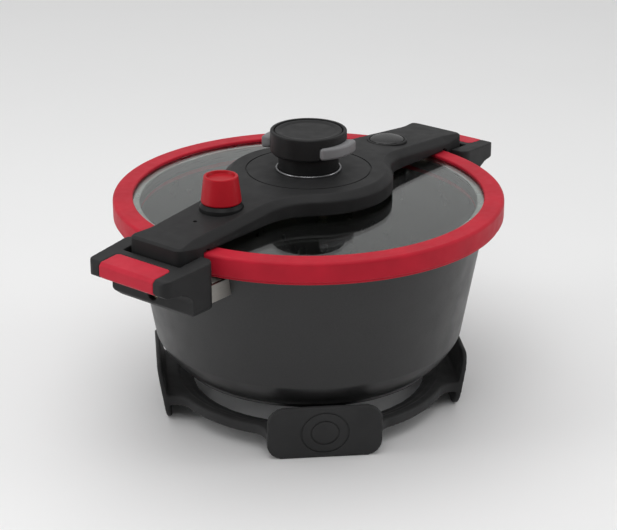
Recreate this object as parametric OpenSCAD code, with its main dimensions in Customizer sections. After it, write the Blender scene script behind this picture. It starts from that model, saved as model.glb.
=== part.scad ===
// Low-pressure stovetop cooker: a cast pot on its trivet, closed by a glass lid
// whose cross bar latches into the two pot handles when the knob is turned.
// +X runs along the bar and the handles, +Z is up, the origin is under the trivet.

/* [Trivet] */
// Overall height of the trivet's four tabs
trivet_h = 38; // [36:1:42]
// Radius of the hole in the ring
ring_in_r = 77.5; // [74:0.5:79]
// Outer radius of the ring
ring_out_r = 93.5; // [90:0.5:94]
// Height of the ring's top face
ring_top = 18.5; // [17:0.5:20]
// Thickness of the ring
ring_t = 7; // [5:0.5:9]
// Full width of a tab
tab_w = 73; // [66:1:78]
// Thickness of a tab
tab_t = 3.5; // [3:0.5:4.5]
// Outward lean of a tab from its top to its foot
tab_lean = 6; // [3:0.5:8]

/* [Pot] */
// Height of the pot from its base to its rim
pot_h = 107; // [104:1:112]
// Outer radius of the rolled rim
rim_r = 120; // [118:0.5:121]
// Inner radius of the mouth
mouth_r = 113.5; // [112:0.5:114]
// Wall thickness
wall_t = 3.2; // [2.8:0.1:3.6]
// Outer radius where the side wall meets the rounded lower corner
knee_r = 101.8; // [100:0.2:103]
// Height of that line above the base
knee_h = 22; // [20:1:25]
// Radius of the base disc
base_r = 84; // [80:1:85]
// Thickness of the base disc
base_t = 2.6; // [2:0.2:3]

/* [Pot handles] */
// Distance from the axis to the inner face of a handle
grip_in = 129.5; // [129:0.5:130.5]
// Distance from the axis to the outer edge of a handle
grip_out = 170; // [166:0.5:174]
// Half width of a handle at its inner face
grip_half_w = 35; // [34:0.5:37]
// Height of the handle's inner top edge above the rim
grip_rise = 8; // [7.5:0.5:9]
// Drop of the handle's top from its inner to its outer edge
grip_drop = 3; // [2:0.5:4]
// Depth of the handle block below the rim
grip_depth = 25; // [24:0.5:28]
// Distance from the axis to the outer face of the handle block
block_out = 148; // [147:0.5:149]
// Half width of the red grip insert
insert_half_w = 22; // [18:0.5:24]

/* [Lid] */
// Height of the seal's top face above the pot rim
seal_rise = 8; // [7.5:0.5:8.5]
// Outer radius of the seal ring
seal_r = 127; // [126:0.2:127.2]
// Inner radius of the seal's visible top
seal_lip_r = 114; // [113.5:0.5:115]
// Thickness of the glass
glass_t = 4; // [3.5:0.5:4]
// Rise of the glass from its edge to its centre
glass_rise = 3; // [2.5:0.5:3]

/* [Cross bar] */
// Radius of the round hub in the middle of the bar
hub_r = 55; // [53:0.5:56]
// Height of the hub's top above the seal's top
hub_top = 15.5; // [15:0.5:17]
// Half length of the bar
bar_half_l = 145.5; // [144:0.5:146]
// Half width of the bar at its ends
bar_half_w = 21.2; // [20:0.2:21.6]
// Height of the bar's end above the seal's top
bar_end_top = 7.4; // [7.2:0.2:9]
// Distance from the axis to each valve
valve_x = 85; // [82:1:88]

/* [Latch drive] */
// Travel of each latch plate
latch_travel = 8; // [7:0.5:8]
// Turn of the knob that drives the full travel, in degrees
knob_turn = 75; // [60:5:80]
// Half width of a latch plate
latch_half_w = 12; // [11:0.5:13]

/* [Knob] */
// Radius of the knob
knob_r = 24.8; // [23:0.2:26]
// Radius of the knob's neck
neck_r = 19.6; // [19:0.2:20]
// Height of the knob's top above the seal's top
knob_top = 42; // [40:1:44]

/* [Hidden] */
$fn = 96;
eps = 0.01;

// Places along Z. The pot's rounded corner sits on the tabs' upper edges.
pot_z = trivet_h - 8.8;
rim_z = pot_z + pot_h;
lid_z = rim_z + seal_rise;

// Trivet
tab_in_top = 93.4;
tab_corner_r = 11.5;
tab_over = 0.8;
tab_angle = atan(tab_lean / trivet_h);
emblem_r = 15.5;

// Pot wall
wall_top_h = pot_h - 4;
wall_top_r = mouth_r + wall_t - 0.5;
wall_slope = (wall_top_r - knee_r) / (wall_top_h - knee_h);
foot_r = base_r + 2;
corner_r = 96.5;
corner_h = 10;
floor_t = 4;
function wall_r(h) = knee_r + (h - knee_h) * wall_slope;
function bezier(a, b, c, n) =
    [for (i = [0:n]) let (t = i / n) (1 - t) * (1 - t) * a + 2 * t * (1 - t) * b + t * t * c];
function arc_points(cx, cy, rx, ry, a0, a1, n) =
    [for (i = [0:n]) let (a = a0 + (a1 - a0) * i / n) [cx + rx * cos(a), cy + ry * sin(a)]];

// Handles
grip_out_half_w = 32;
insert_in = 153.5;
insert_corner = 3.5;
insert_t = 2.6;
recess_end = 148;
recess_half_w = 23;
recess_floor = -1;
slot_half_w = 16;
slot_top = 2.2;
slot_end = 158;
bracket_half_w = 28.5;
bracket_t = 2.2;
bracket_top = -10.5;
bracket_bottom = -22;
bracket_end = 141;
fastener_z = -16.5;
screw_seat = 142.6;

// Lid
glass_r = 116.5;
glass_edge_z = -2.1;
dome_r = (glass_r * glass_r + glass_rise * glass_rise) / (2 * glass_rise);
glass_top_z = glass_edge_z + glass_rise;
skirt_depth = 11.6;
seat_z = -seal_rise + 0.08;
band_in_r = 109.2;
band_t = 0.9;

// Bar: shell thickness, start of the falling arms, shoulder along the upper edge, base plate and the run of
// the latch plates above the base
shell_t = 2.8;
flat_x = 50;
arm_taper = 5;
shoulder_w = 4.4;
shoulder_h = 3.4;
shoulder_end = 1.2;
fillet_r = 45;
end_round = 5;
bar_bottom = 2.3;
end_bottom = -6.4;
base_top = 3.9;
latch_z = 4.1;
latch_t = 1.3;
joggle_x = 129.6;
tongue_z = -8.1;
latch_tip = 147.2;
pin_r = 2;
pin_x = 16;
cam_z = 5.7;
cam_t = 2.5;
cam_r = 29;
journal_r = 5;
spindle_r = 3.5;
tube_r = 5.5;
seat_flat_z = 11.4;
collar_r = 13.6;
vent_x = -109;

// Knob
neck_z = hub_top + 0.4;
knob_z = 27;
wing_z = 28.3;
wing_h = 8.2;
wing_start = 235;
wing_sweep = 70;
wing_in_r = 26.2;
wing_out_r = 31;
cap_r = 22;

module at_pot() translate([0, 0, pot_z]) children();
module at_rim() translate([0, 0, rim_z]) children();
module at_lid() translate([0, 0, lid_z]) children();
module flip(left) mirror([left ? 1 : 0, 0, 0]) children();
module tube(r_out, r_in, z0, z1) translate([0, 0, z0]) difference() {
    cylinder(r = r_out, h = z1 - z0);
    translate([0, 0, -1]) cylinder(r = r_in, h = z1 - z0 + 2);
}
module rod(r, z0, z1) translate([0, 0, z0]) cylinder(r = r, h = z1 - z0);
module rod_x(r, x0, x1) translate([x0, 0, 0]) rotate([0, 90, 0]) cylinder(r = r, h = x1 - x0);
module block(x0, x1, half_w, z0, z1)
    translate([x0, -half_w, z0]) cube([x1 - x0, 2 * half_w, z1 - z0]);

// ---------------------------------------------------------------- trivet

// Front view of one tab: straight edges and round corners
module tab_outline() offset(r = tab_corner_r)
    square([tab_w - 2 * tab_corner_r, trivet_h + tab_over - 2 * tab_corner_r], center = true);
module tab() intersection() {
    translate([tab_in_top + tab_lean / 2, 0, trivet_h / 2])
        rotate([0, tab_angle, 0]) rotate([90, 0, 90]) linear_extrude(tab_t) tab_outline();
    translate([60, -60, 0]) cube([60, 120, trivet_h]);
}
// Plan of the ring, flared out to the full width of each tab
module ring_plan() offset(r = -14) offset(r = 14) union() {
    circle(ring_out_r);
    for (i = [0:3]) rotate(45 + 90 * i) translate([84, -tab_w / 2])
        square([tab_in_top + tab_t + 1 - 84, tab_w]);
}
// Steps in the ring's top face, for bases of several sizes
module ring_steps() rotate_extrude() polygon([
    [ring_in_r - 2, ring_top - 2.8], [ring_in_r + 5, ring_top - 2.8],
    [ring_in_r + 6, ring_top - 1.6], [ring_out_r - 6.5, ring_top - 1.6],
    [ring_out_r - 5, ring_top + 1], [ring_in_r - 2, ring_top + 1]]);
module trivet() color("#2b2b2c") difference() {
    union() {
        difference() {
            translate([0, 0, ring_top - ring_t]) linear_extrude(ring_t) ring_plan();
            rod(ring_in_r, 0, trivet_h);
            ring_steps();
        }
        for (i = [0:3]) rotate(45 + 90 * i) tab();
    }
    rotate(225) translate([tab_in_top + tab_lean / 2 + tab_t, 0, trivet_h / 2])
        rotate([0, 90 + tab_angle, 0]) for (r = [emblem_r, 0.6 * emblem_r]) tube(r, r - 1, -0.6, 2);
}

// ------------------------------------------------------------------- pot

module pot_outer_2d() polygon(concat(
    [[0, base_t], [base_r + 0.05, base_t], [base_r + 0.05, 0.6], [foot_r - 0.6, 0.6], [foot_r, 1.2]],
    bezier([foot_r, base_t], [corner_r, corner_h], [knee_r, knee_h], 8),
    [[wall_top_r - 0.4, wall_top_h], [rim_r - 0.8, wall_top_h + 0.9]],
    arc_points(rim_r - 1.3, pot_h - 1.5, 1.3, 1.5, -60, 90, 5),
    [[0, pot_h]]));
module pot_inner_2d() polygon(concat(
    [[0, base_t + floor_t], [foot_r - 5, base_t + floor_t]],
    bezier([foot_r - 5, base_t + floor_t], [corner_r - 3.4, corner_h + 3],
           [knee_r - wall_t, knee_h + 1], 8),
    [[mouth_r - 0.4, pot_h - 2], [mouth_r + 0.6, pot_h], [mouth_r + 0.6, pot_h + 5],
     [0, pot_h + 5]]));
module pot_shell() at_pot() rotate_extrude($fn = 160) difference() {
    pot_outer_2d();
    pot_inner_2d();
}
module rivet_shanks(r) for (side = [0, 1]) flip(side == 1)
    at_rim() translate([0, 0, fastener_z]) rod_x(r, 105, 119.2);
module pot_body() color("#39393b") difference() {
    pot_shell();
    rivet_shanks(3);
}
module pot_base_disc() color("#77787a") at_pot() difference() {
    cylinder(r = base_r, h = base_t, $fn = 160);
    for (r = [30, 52, 74]) tube(r + 0.6, r - 0.6, -1, 0.5);
}

// --------------------------------------------------------------- handles

// Loop of strap steel riveted to the wall, with a flat face for the handle screw
module handle_bracket(left) color("#9a958e") flip(left) difference() {
    at_rim() difference() {
        block(100, bracket_end, bracket_half_w, bracket_bottom, bracket_top);
        difference() {
            block(90, bracket_end - bracket_t, bracket_half_w - bracket_t,
                  bracket_bottom - 1, bracket_top + 1);
            rod(118, bracket_bottom - 2, bracket_top + 2);
        }
        translate([0, 0, fastener_z]) rod_x(pin_r, 130, 150);
        translate([0, 0, fastener_z]) rod_x(3, 100, 125);
    }
    at_pot() rotate_extrude($fn = 160) pot_outer_2d();
}
module left_handle_bracket() handle_bracket(true);
module right_handle_bracket() handle_bracket(false);

module rivet_heads() for (side = [0, 1]) flip(side == 1) at_rim() translate([0, 0, fastener_z]) {
    rod_x(6, 109, 114);
    rod_x(5, 116, 119.2);
}
module bracket_rivets() color("#8c8880") {
    rivet_shanks(3);
    difference() {
        rivet_heads();
        pot_shell();
        rivet_shanks(3);
        handle_bracket(true);
        handle_bracket(false);
    }
}

function grip_top(x) = grip_rise - grip_drop * (x - grip_in) / (grip_out - grip_in);
// Side view of a handle: sloping top plate, hooked finger curve, and the block behind it
module grip_side() polygon(concat(
    [[grip_in - 6, -grip_depth], [grip_in - 6, grip_rise + 0.4]],
    [[grip_out - 2, grip_top(grip_out) + 0.1], [grip_out, grip_top(grip_out) - 2]],
    [[grip_out, -3.6], [grip_out - 2, -5.3]],
    arc_points(grip_out - 4, -14, grip_out - 4 - block_out, 8.7, 90, 180, 9),
    [[block_out, 3 - grip_depth], [block_out - 3, -grip_depth]]));
module grip_plan() offset(r = 6) offset(delta = -6) polygon([
    [grip_in, -grip_half_w], [grip_out, -grip_out_half_w],
    [grip_out, grip_out_half_w], [grip_in, grip_half_w]]);
module grip_front() offset(r = 5) offset(delta = -5) polygon([
    [-grip_half_w - 1, grip_rise + 8], [-grip_half_w - 1, 6 - grip_depth],
    [-grip_half_w + 6, -grip_depth], [grip_half_w - 6, -grip_depth],
    [grip_half_w + 1, 6 - grip_depth], [grip_half_w + 1, grip_rise + 8]]);
module grip_blank() at_rim() intersection() {
    translate([0, 60, 0]) rotate([90, 0, 0]) linear_extrude(120) grip_side();
    translate([0, 0, -40]) linear_extrude(80) grip_plan();
    translate([100, 0, 0]) rotate([90, 0, 90]) linear_extrude(80) grip_front();
}
// Pocket for the insert: over the outer part of the top and down the outer edge
module insert_zone() at_rim() intersection() {
    translate([0, insert_half_w, 0]) rotate([90, 0, 0]) linear_extrude(2 * insert_half_w) polygon([
        [insert_in, grip_rise + 4], [insert_in, grip_top(insert_in) - insert_t],
        [grip_out - insert_t, grip_top(grip_out) - insert_t], [grip_out - insert_t, -10],
        [grip_out + 5, -10], [grip_out + 5, grip_rise + 4]]);
    translate([0, 0, -20]) linear_extrude(40) offset(r = insert_corner) offset(delta = -insert_corner)
        translate([insert_in, -insert_half_w]) square([30, 2 * insert_half_w]);
}
module handle(left) color("#2d2d2f") flip(left) difference() {
    grip_blank();
    insert_zone();
    at_rim() {
        block(110, recess_end, recess_half_w, recess_floor, 30);
        block(140, slot_end, slot_half_w, recess_floor, slot_top);
        translate([110.2, 0, 0]) rod(30.8, -40, recess_floor + 1);
        block(110, bracket_end, bracket_half_w + 0.1, bracket_bottom - 0.3, bracket_top + 0.3);
        translate([0, 0, fastener_z]) {
            rod_x(pin_r + 0.2, 135, 150);
            rod_x(3.8, screw_seat, 160);
        }
    }
}
module left_handle() handle(true);
module right_handle() handle(false);
module grip_insert(left) color("#b4293c") flip(left) intersection() {
    grip_blank();
    insert_zone();
}
module left_grip_insert() grip_insert(true);
module right_grip_insert() grip_insert(false);
module handle_screws() color("#8f8b86") for (side = [0, 1]) flip(side == 1)
    at_rim() translate([0, 0, fastener_z]) difference() {
        union() {
            rod_x(pin_r, 135, screw_seat);
            rod_x(3.6, screw_seat, screw_seat + 2.4);
        }
        translate([screw_seat + 1, 0, 0]) rotate([0, 90, 0]) cylinder(r = 1.7, h = 4, $fn = 6);
    }

// ------------------------------------------------------------------- lid

function dome_z(r) = glass_top_z - dome_r + sqrt(dome_r * dome_r - r * r);
module glass_blank() rotate_extrude($fn = 160) polygon(concat(
    [for (i = [0:12]) [glass_r * i / 12, dome_z(glass_r * i / 12)]],
    [for (i = [12:-1:0]) [glass_r * i / 12, dome_z(glass_r * i / 12) - glass_t]]));
module lid_glass() color("#c9ccca") at_lid() difference() {
    glass_blank();
    rod(6.6, -20, 20);
    for (x = [-valve_x, valve_x]) translate([x, 0, 0]) rod(tube_r + 0.5, -20, 20);
}
// Silicone ring that grips the glass, sits on the rim and has a lip inside the mouth
module lid_seal() color("#b4293c") at_lid() rotate_extrude($fn = 160) polygon([
    [seal_lip_r, glass_edge_z + 0.12], [seal_lip_r, -0.8], [seal_lip_r + 0.8, 0],
    [seal_r - 2, 0], [seal_r - 0.5, -0.5], [seal_r, -2],
    [seal_r, 2.2 - skirt_depth], [seal_r - 1.2, 2 - skirt_depth],
    [seal_r - 1.2, -skirt_depth], [rim_r + 1.2, -skirt_depth],
    [rim_r + 0.6, 0.6 - skirt_depth], [rim_r + 0.6, seat_z],
    [mouth_r - 0.4, seat_z], [mouth_r - 1.6, seat_z - 6.2],
    [band_in_r + band_t, seat_z - 6.6], [band_in_r + band_t, glass_edge_z - glass_t - band_t],
    [glass_r, glass_edge_z - glass_t - band_t], [glass_r, glass_edge_z + 0.12]]);
module seal_band() color("#a3a29e") at_lid() rotate_extrude($fn = 160) polygon([
    [band_in_r, seat_z - 6.2], [band_in_r + band_t, seat_z - 6.2],
    [band_in_r + band_t, glass_edge_z - glass_t - band_t],
    [glass_r, glass_edge_z - glass_t - band_t], [glass_r, glass_edge_z - glass_t],
    [band_in_r, glass_edge_z - glass_t]]);

// --------------------------------------------------------------- cross bar

function bar_top(x) = hub_top - (hub_top - bar_end_top) * (x - flat_x) / (bar_half_l - flat_x);
// The arms taper from mid_half_w at the axis. arm_turn is the angle of their sides, and the wide hollow
// between hub and arm has its centre at hollow_x, hollow_y.
mid_half_w = bar_half_w + arm_taper;
arm_turn = atan2(arm_taper, bar_half_l);
hollow_reach = mid_half_w * cos(arm_turn) + fillet_r;
hollow_along = sqrt((hub_r + fillet_r) * (hub_r + fillet_r) - hollow_reach * hollow_reach);
hollow_x = hollow_reach * sin(arm_turn) + hollow_along * cos(arm_turn);
hollow_y = hollow_reach * cos(arm_turn) - hollow_along * sin(arm_turn);
function arm_half_w(x) = mid_half_w - arm_taper * x / bar_half_l;
// Plan of the bar: round hub, tapering arms with rounded corners, wide hollows between them
module bar_plan(inset = 0) {
    turn = atan2(hollow_y, hollow_x);
    hub = hub_r - inset;
    end = bar_half_l - inset;
    corner = end_round - inset;
    corner_x = bar_half_l - end_round;
    corner_y = arm_half_w(corner_x) - end_round / cos(arm_turn);
    side_x = corner_x + corner * sin(arm_turn);
    side_y = corner_y + corner * cos(arm_turn);
    mid = mid_half_w - inset / cos(arm_turn);
    circle(hub);
    for (mx = [0, 1], my = [0, 1]) mirror([mx, 0, 0]) mirror([0, my, 0]) {
        translate([corner_x, corner_y]) circle(corner);
        polygon([[-1, -1], [end, -1], [end, corner_y], [side_x, side_y], [0, mid], [-1, mid]]);
        difference() {
            polygon([[0, 0], hub * [cos(turn), sin(turn)], [hollow_x, hollow_y],
                     [hollow_x - hollow_y * tan(arm_turn), 0]]);
            translate([hollow_x, hollow_y]) circle(fillet_r + inset);
        }
    }
}
module both_ways(points) polygon(concat(
    points, [for (i = [len(points) - 1:-1:0]) [-points[i][0], points[i][1]]]));
module bar_side() both_ways([
    [hub_r, bar_bottom], [112, 0.6], [112, end_bottom], [bar_half_l, end_bottom],
    [bar_half_l, bar_end_top - 1.5], [bar_half_l - 1.5, bar_end_top], [flat_x, hub_top]]);
module bar_cavity_side() both_ways([
    [bar_half_l - shell_t, end_bottom - 5], [bar_half_l - shell_t, bar_end_top - 1.5],
    [flat_x, hub_top - shell_t - 0.8]]);
module side_extrude() translate([0, 70, 0]) rotate([90, 0, 0]) linear_extrude(140) children();
// Sloping shoulder along the bar's upper edge: round the hub, round each hollow, then along each arm,
// where it narrows towards the end
module bar_shoulder() {
    turn = atan2(hollow_y, hollow_x);
    fall = atan2(hub_top - bar_end_top, bar_half_l - flat_x);
    slope = shoulder_h / shoulder_w;
    for (back = [0, 180]) rotate(back + turn) rotate_extrude(angle = 180 - 2 * turn, $fn = 160)
        polygon([[hub_r - shoulder_w, hub_top], [hub_r + 1, hub_top - shoulder_h - slope],
                 [hub_r + 1, hub_top + 1], [hub_r - shoulder_w, hub_top + 1]]);
    start_x = hollow_x - fillet_r * sin(arm_turn);
    run = bar_half_l - start_x;
    start_z = bar_top(start_x) - shoulder_h;
    dip = atan2(start_z - bar_end_top + shoulder_end, run);
    for (mx = [0, 1], my = [0, 1]) mirror([mx, 0, 0]) mirror([0, my, 0]) {
        translate([flat_x, 0, hub_top]) rotate([0, fall, 0]) translate([hollow_x - flat_x, hollow_y, 0])
            rotate(180 + turn) rotate_extrude(angle = 90 - turn - arm_turn, $fn = 160)
                polygon([[fillet_r + shoulder_w, 0], [fillet_r - 1, -shoulder_h - slope],
                         [fillet_r - 1, 4], [fillet_r + shoulder_w, 4]]);
        translate([start_x, arm_half_w(start_x), start_z])
            rotate([-atan2(shoulder_h, shoulder_w), dip, -arm_turn])
                translate([-0.02, -10, 0]) cube([run + 5, 12, 10]);
    }
}
module screw_spots() for (x = [-30, 30], y = [-36, 36]) translate([x, y, 0]) children();
module bar_housing() color("#2d2d2f") at_lid() difference() {
    union() {
        difference() {
            intersection() {
                translate([0, 0, -20]) linear_extrude(60) bar_plan();
                side_extrude() bar_side();
            }
            intersection() {
                translate([0, 0, -20]) linear_extrude(60) bar_plan(shell_t);
                side_extrude() bar_cavity_side();
            }
        }
        screw_spots() rod(4, base_top, hub_top - 1);
    }
    bar_shoulder();
    rod(seal_r + 0.6, -30, 0.35);
    rod(journal_r + 0.06, 0, 30);
    screw_spots() rod(1.15, 0, 10.5);
    for (x = [-valve_x, valve_x]) translate([x, 0, 0]) {
        rod(tube_r + 0.1, 0, 30);
        rod(collar_r + 0.2, seat_flat_z, 30);
    }
    tube(40.9, 40.1, hub_top - 0.6, hub_top + 2);
    translate([vent_x, 0, 0]) rod(1.3, 0, 30);
}
// Cover under the bar, with ribs that guide the two latch plates
module bar_base() color("#252527") at_lid() difference() {
    union() {
        translate([0, 0, bar_bottom]) linear_extrude(base_top - bar_bottom) intersection() {
            bar_plan(shell_t + 0.15);
            square([222, 120], center = true);
        }
        for (x = [-1, 1], y = [-1, 1])
            translate([x * 44, y * (latch_half_w + 1.1), base_top - eps])
                translate([-14, -0.75, 0]) cube([28, 1.5, 1.9]);
    }
    rod(6.6, 0, 20);
    screw_spots() { rod(1.6, 0, 20); rod(3, 0, bar_bottom + 0.8); }
    for (x = [-valve_x, valve_x]) translate([x, 0, 0]) rod(tube_r + 0.2, 0, 20);
}
module bar_screws() color("#8f8b86") at_lid() screw_spots() difference() {
    union() {
        rod(2.8, bar_bottom + 0.05, bar_bottom + 0.8);
        rod(1.15, bar_bottom + 0.8, 10);
    }
    translate([-0.3, -2, bar_bottom]) cube([0.6, 4, 0.4]);
}
module hub_gaskets() color("#7d1f28") at_lid() {
    tube(20, 6.5, glass_top_z, bar_bottom);
    tube(15, 6.5, glass_top_z - glass_t - 1, glass_top_z - glass_t - 0.06);
}
// Hollow bolt that holds the bar to the glass and carries the spindle's foot
module clamp_bolt() color("#b9b6b0") at_lid() difference() {
    union() {
        rod(9, base_top, base_top + 1.4);
        rod(6.5, glass_top_z - glass_t - 8, base_top);
    }
    rod(spindle_r + 0.06, -4, 20);
}
module clamp_washer() color("#a9a7a2") at_lid()
    tube(16, 6.6, glass_top_z - glass_t - 2.4, glass_top_z - glass_t - 1);
module clamp_nut() color("#a9a7a2") at_lid()
    translate([0, 0, glass_top_z - glass_t - 7]) difference() {
        cylinder(r = 12, h = 4.6, $fn = 6);
        translate([0, 0, -1]) cylinder(r = 6.5, h = 8);
    }
module knob_trim_ring() color("#d9d9d9") at_lid() tube(21.4, 20.2, hub_top, hub_top + 1.4);

// ---------------------------------------------------------------- valves

module seat_tube(bore, z_top) difference() {
    union() {
        rod(tube_r, -8.4, z_top);
        rod(10, -7, -5.6);
    }
    rod(bore, -30, 40);
}
module valve_seat() color("#b9b6b0") at_lid() translate([-valve_x, 0, 0]) seat_tube(2.5, 18.4);
module safety_seat() color("#b9b6b0") at_lid() translate([valve_x, 0, 0]) seat_tube(3, 12.6);
module valve_grommets() color("#7d1f28") at_lid() difference() {
    for (x = [-valve_x, valve_x]) translate([x, 0, 0]) tube(9.6, tube_r, -5.6, -4);
    translate([0, 0, -0.03]) glass_blank();
}
module valve_collar() color("#252527") at_lid() translate([-valve_x, 0, 0])
    rotate_extrude() polygon([
        [tube_r, seat_flat_z], [collar_r, seat_flat_z], [collar_r, 14.2],
        [collar_r - 1.6, 16.2], [tube_r, 16.2]]);
module safety_bezel() color("#252527") at_lid() translate([valve_x, 0, 0])
    rotate_extrude() polygon([
        [tube_r, seat_flat_z], [collar_r, seat_flat_z], [collar_r, 13.3], [collar_r - 0.8, 14],
        [12, 14], [12, 12.6], [tube_r, 12.6]]);
module valve_cap() color("#9b1826") at_lid() translate([-valve_x, 0, 0])
    rotate_extrude() polygon([
        [8.4, 16.6], [12.3, 16.6], [12.6, 17.2], [10.6, 32.8], [9.8, 33.6], [8.8, 33.4],
        [8.2, 31.6], [0, 31.4], [0, 30.2], [8, 30.2], [8.4, 18]]);
module valve_weight() color("#b9b6b0") at_lid() translate([-valve_x, 0, 0]) {
    rod(8, 18.8, 30.2);
    rod(2.42, 11, 18.8);
}
module safety_button() color("#252527") at_lid() translate([valve_x, 0, 0])
    rotate_extrude() polygon(concat(
        [[0, 13], [11.6, 13]], arc_points(0, 13.6, 11.6, 2.4, 0, 90, 8)));
module safety_plunger() color("#b9b6b0") at_lid() translate([valve_x, 0, 0]) {
    rod(2.95, -13.2, 13);
    rod(5.4, -14.2, -13.2);
}
module safety_o_ring() color("#1e1e1f") at_lid() translate([valve_x, 0, -12.3])
    rotate_extrude() translate([3.85, 0]) circle(r = 0.89, $fn = 24);

// --------------------------------------------------------- knob and latches

module knob_body() color("#2d2d2f") at_lid() difference() {
    rotate_extrude() polygon([
        [journal_r, neck_z], [8, neck_z], [8, 24], [neck_r - 2.6, 24], [neck_r - 2.6, neck_z],
        [neck_r, neck_z], [neck_r, knob_z - 0.9], [knob_r - 1.2, knob_z],
        [knob_r, knob_z + 1.2], [knob_r, knob_top - 2], [knob_r - 0.6, knob_top - 0.6],
        [knob_r - 1.9, knob_top], [cap_r + 0.3, knob_top - 0.3], [cap_r + 0.3, wing_z - 0.1],
        [pin_r + 0.1, wing_z - 0.1], [pin_r + 0.1, 26], [journal_r, 26]]);
    wing_sectors(knob_r - 3, knob_r + 3, wing_z, wing_z + wing_h);
}
module wing_sectors(r0, r1, z0, z1) for (a = [wing_start, wing_start - 180])
    rotate(a) translate([0, 0, z0]) rotate_extrude(angle = wing_sweep)
        translate([r0, 0]) square([r1 - r0, z1 - z0]);
// Dished disc set into the top of the knob, standing on the ring that carries the wings
module knob_cap() color("#333335") at_lid() rotate_extrude() polygon([
    [0, knob_top - 3], [cap_r - 3, knob_top - 3], [cap_r - 3, wing_z + wing_h + 0.1],
    [cap_r, wing_z + wing_h + 0.1], [cap_r, knob_top - 0.9], [cap_r - 1, knob_top - 0.5],
    [cap_r - 5, knob_top - 1.2], [0, knob_top - 1.2]]);
// One wing grows outward from start to end of its sweep
module wing() polygon(concat(
    [for (i = [0:10]) let (a = wing_sweep * i / 10, r = wing_in_r + (wing_out_r - wing_in_r) * i / 10)
        [r * cos(a), r * sin(a)]],
    [for (i = [10:-1:0]) let (a = wing_sweep * i / 10) (cap_r - 0.5) * [cos(a), sin(a)]]));
module knob_wings() color("#7b7c7e") at_lid() translate([0, 0, wing_z + 0.05]) {
    tube(cap_r, 12, 0, wing_h - 0.1);
    for (a = [wing_start, wing_start - 180]) rotate(a)
        linear_extrude(wing_h - 0.1) wing();
}
module knob_spindle() color("#b9b6b0") at_lid() difference() {
    union() {
        rod(spindle_r, -3.6, cam_z);
        translate([0, 0, cam_z]) cylinder(r = 6.6, h = cam_t, $fn = 6);
        rod(journal_r, cam_z + cam_t, 26);
    }
    rod(pin_r, 19, 30);
}
module knob_screw() color("#8f8b86") at_lid() difference() {
    union() { rod(pin_r, 20, wing_z - 0.1); rod(4, wing_z - 0.1, wing_z + 2.6); }
    translate([0, 0, wing_z + 1]) cylinder(r = 1.8, h = 4, $fn = 6);
}
// Disc with two spiral slots: turning it moves both latch pins at a constant rate
module spiral_slot() {
    half = pin_r + 0.35;
    steps = 12;
    function slot_pt(i, d) = let (a = knob_turn * i / steps, r = pin_x + latch_travel * i / steps)
        [(r + d) * cos(a), (r + d) * sin(a)];
    polygon(concat([for (i = [0:steps]) slot_pt(i, half)], [for (i = [steps:-1:0]) slot_pt(i, -half)]));
    for (i = [0, steps]) translate(slot_pt(i, 0)) circle(half + 0.05, $fn = 32);
}
module cam_disc() color("#9a958e") at_lid() translate([0, 0, cam_z]) difference() {
    cylinder(r = cam_r, h = cam_t);
    translate([0, 0, -1]) cylinder(r = 6.6, h = cam_t + 2, $fn = 6);
    for (a = [0, 180]) rotate(a) translate([0, 0, -1]) linear_extrude(cam_t + 2) spiral_slot();
}
// Strip of steel that runs in the bar, steps down outside the seal and ends in a tongue
module latch(left) color("#c9c5bb") at_lid() flip(left) difference() {
    union() {
        block(pin_x - 4.5, joggle_x + latch_t, latch_half_w, latch_z, latch_z + latch_t);
        block(joggle_x, joggle_x + latch_t, latch_half_w, tongue_z, latch_z + latch_t);
        block(joggle_x, latch_tip, latch_half_w, tongue_z, tongue_z + latch_t);
    }
    translate([pin_x, 0, 0]) rod(pin_r, 0, 10);
    travel_slot(valve_x, tube_r + 0.8);
    if (left) travel_slot(-vent_x, 2);
}
// Slot that lets a latch plate slide past a post or a hole at x
module travel_slot(x, r) {
    for (end = [x - latch_travel, x]) translate([end, 0, 0]) rod(r, 0, 10);
    block(x - latch_travel, x, r, 0, 10);
}
module left_latch() latch(true);
module right_latch() latch(false);
module latch_pin(left) color("#b9b6b0") at_lid() flip(left)
    translate([pin_x, 0, 0]) rod(pin_r, latch_z, cam_z + cam_t - 0.2);
module left_latch_pin() latch_pin(true);
module right_latch_pin() latch_pin(false);

trivet();
pot_body();
pot_base_disc();
left_handle_bracket();
right_handle_bracket();
left_handle();
right_handle();
left_grip_insert();
right_grip_insert();
handle_screws();
bracket_rivets();
lid_glass();
lid_seal();
seal_band();
bar_housing();
bar_base();
bar_screws();
hub_gaskets();
clamp_bolt();
clamp_washer();
clamp_nut();
knob_trim_ring();
valve_seat();
valve_collar();
safety_seat();
safety_bezel();
valve_grommets();
knob_body();
knob_cap();
knob_wings();
knob_spindle();
knob_screw();
cam_disc();
left_latch();
right_latch();
left_latch_pin();
right_latch_pin();
valve_cap();
valve_weight();
safety_button();
safety_plunger();
safety_o_ring();
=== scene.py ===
from math import atan2, cos, hypot, pi, radians, sin, sqrt, tan

import bmesh
import bpy
from mathutils import Matrix, Vector


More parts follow.
